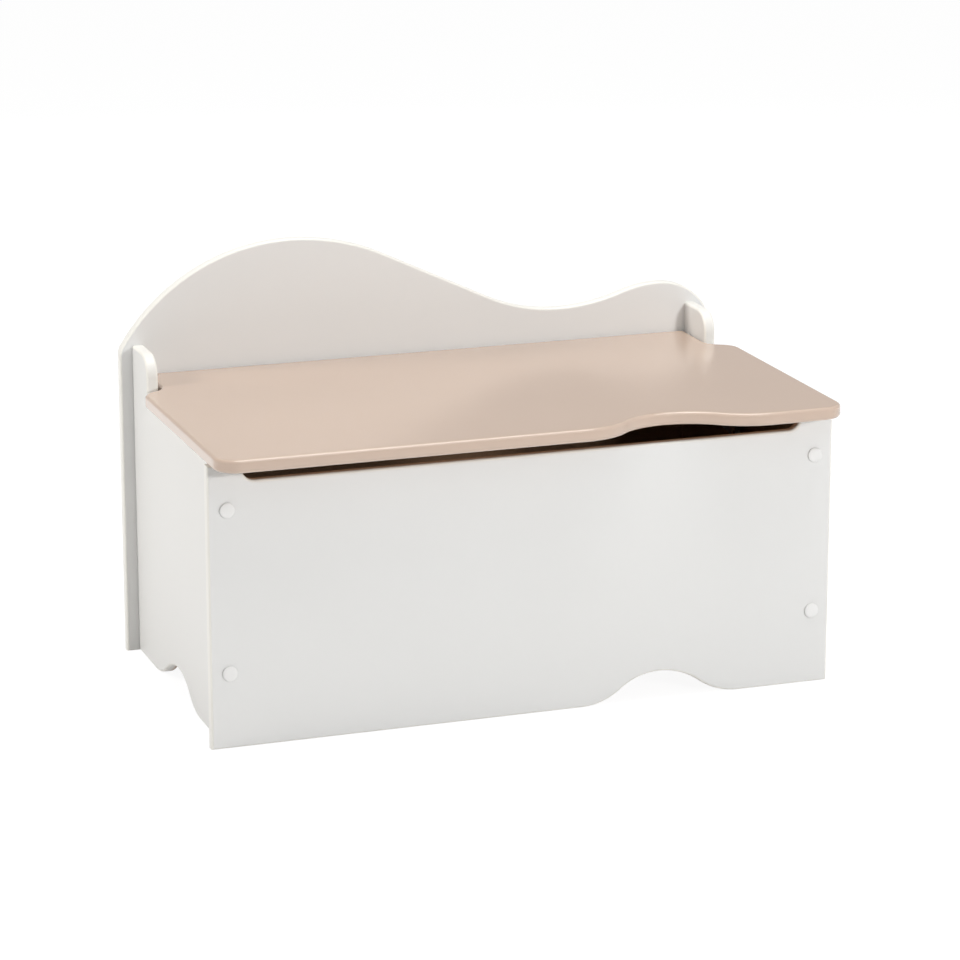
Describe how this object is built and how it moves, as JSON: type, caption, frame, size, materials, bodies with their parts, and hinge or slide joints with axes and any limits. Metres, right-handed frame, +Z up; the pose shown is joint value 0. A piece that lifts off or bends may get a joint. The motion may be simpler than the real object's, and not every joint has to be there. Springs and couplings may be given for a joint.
{
  "type": "wooden toy box",
  "caption": "Wooden toy box with a wave-topped back board, a shaped front, and an overhanging hinged lid with a curved finger recess.",
  "frame": {"origin": "on the floor, in the middle of the whole outline's length and depth", "axes": "+X to the right along the front, +Y from the front to the back, +Z up"},
  "size_m": [0.8, 0.4704, 0.526],
  "materials": {
    "white_paint": "satin white lacquer on fibreboard",
    "fibreboard": "bare brown pressed fibreboard",
    "lid_paint": "satin pinkish taupe lacquer on fibreboard",
    "cap_plastic": "smooth white",
    "zinc_steel": "zinc plated",
    "pin_steel": "ground bright steel",
    "nylon": "natural nylon",
    "stay_steel": "nickel-coloured satin coating",
    "beech": "bare beech"
  },
  "bodies": {
    "root": {"front_panel": "white_paint", "back_panel": "white_paint", "side_panel_left": "white_paint", "side_panel_right": "white_paint", "bottom_panel": "fibreboard", "front_cleat": "white_paint", "rear_cleat": "white_paint", "side_cleat_left": "white_paint", "side_cleat_right": "white_paint", "front_bolt_caps": "cap_plastic", "rear_bolt_caps": "cap_plastic", "front_connector_bolts": "zinc_steel", "rear_connector_bolts": "zinc_steel", "barrel_nuts_left": "zinc_steel", "barrel_nuts_right": "zinc_steel", "front_dowels": "beech", "rear_dowels": "beech", "front_cleat_screws": "zinc_steel", "rear_cleat_screws": "zinc_steel", "side_cleat_screws_left": "zinc_steel", "side_cleat_screws_right": "zinc_steel", "base_screws": "zinc_steel", "hinge_pin_left": "pin_steel", "hinge_pin_right": "pin_steel", "stay_housing_left": "stay_steel", "stay_housing_right": "stay_steel", "stay_axle_left": "pin_steel", "stay_axle_right": "pin_steel", "stay_housing_screws_left": "zinc_steel", "stay_housing_screws_right": "zinc_steel"},
    "lid": {"lid": "lid_paint", "hinge_bush_left": "nylon", "hinge_bush_right": "nylon", "stay_bracket_left": "stay_steel", "stay_bracket_right": "stay_steel", "stay_bracket_rivet_left": "pin_steel", "stay_bracket_rivet_right": "pin_steel", "stay_bracket_screws_left": "zinc_steel", "stay_bracket_screws_right": "zinc_steel"},
    "left_stay_arm": {"stay_arm_left": "stay_steel", "stay_elbow_rivet_left": "pin_steel"},
    "left_stay_link": {"stay_link_left": "stay_steel"},
    "right_stay_arm": {"stay_arm_right": "stay_steel", "stay_elbow_rivet_right": "pin_steel"},
    "right_stay_link": {"stay_link_right": "stay_steel"}
  },
  "joints": [
    {"name": "lid_hinge", "type": "hinge", "parent": "root", "child": "lid", "pos_m": [0, 0.1968, 0.3583], "axis": [-1, 0, 0], "range_deg": [0, 90]},
    {"name": "left_stay_axle", "type": "hinge", "parent": "root", "child": "left_stay_arm", "pos_m": [-0.355, 0.1518, 0.2983], "axis": [-1, 0, 0], "range_deg": [0, 90]},
    {"name": "left_stay_elbow", "type": "hinge", "parent": "left_stay_arm", "child": "left_stay_link", "pos_m": [-0.355, 0.0018, 0.2763], "axis": [-1, 0, 0], "range_deg": [-90, 0]},
    {"name": "right_stay_axle", "type": "hinge", "parent": "root", "child": "right_stay_arm", "pos_m": [0.355, 0.1518, 0.2983], "axis": [-1, 0, 0], "range_deg": [0, 90]},
    {"name": "right_stay_elbow", "type": "hinge", "parent": "right_stay_arm", "child": "right_stay_link", "pos_m": [0.355, 0.0018, 0.2763], "axis": [-1, 0, 0], "range_deg": [-90, 0]}
  ],
  "couplings": [
    {"joint": "left_stay_axle", "follows": "lid_hinge", "ratio": 1},
    {"joint": "left_stay_elbow", "follows": "lid_hinge", "ratio": -1},
    {"joint": "right_stay_axle", "follows": "lid_hinge", "ratio": 1},
    {"joint": "right_stay_elbow", "follows": "lid_hinge", "ratio": -1}
  ]
}
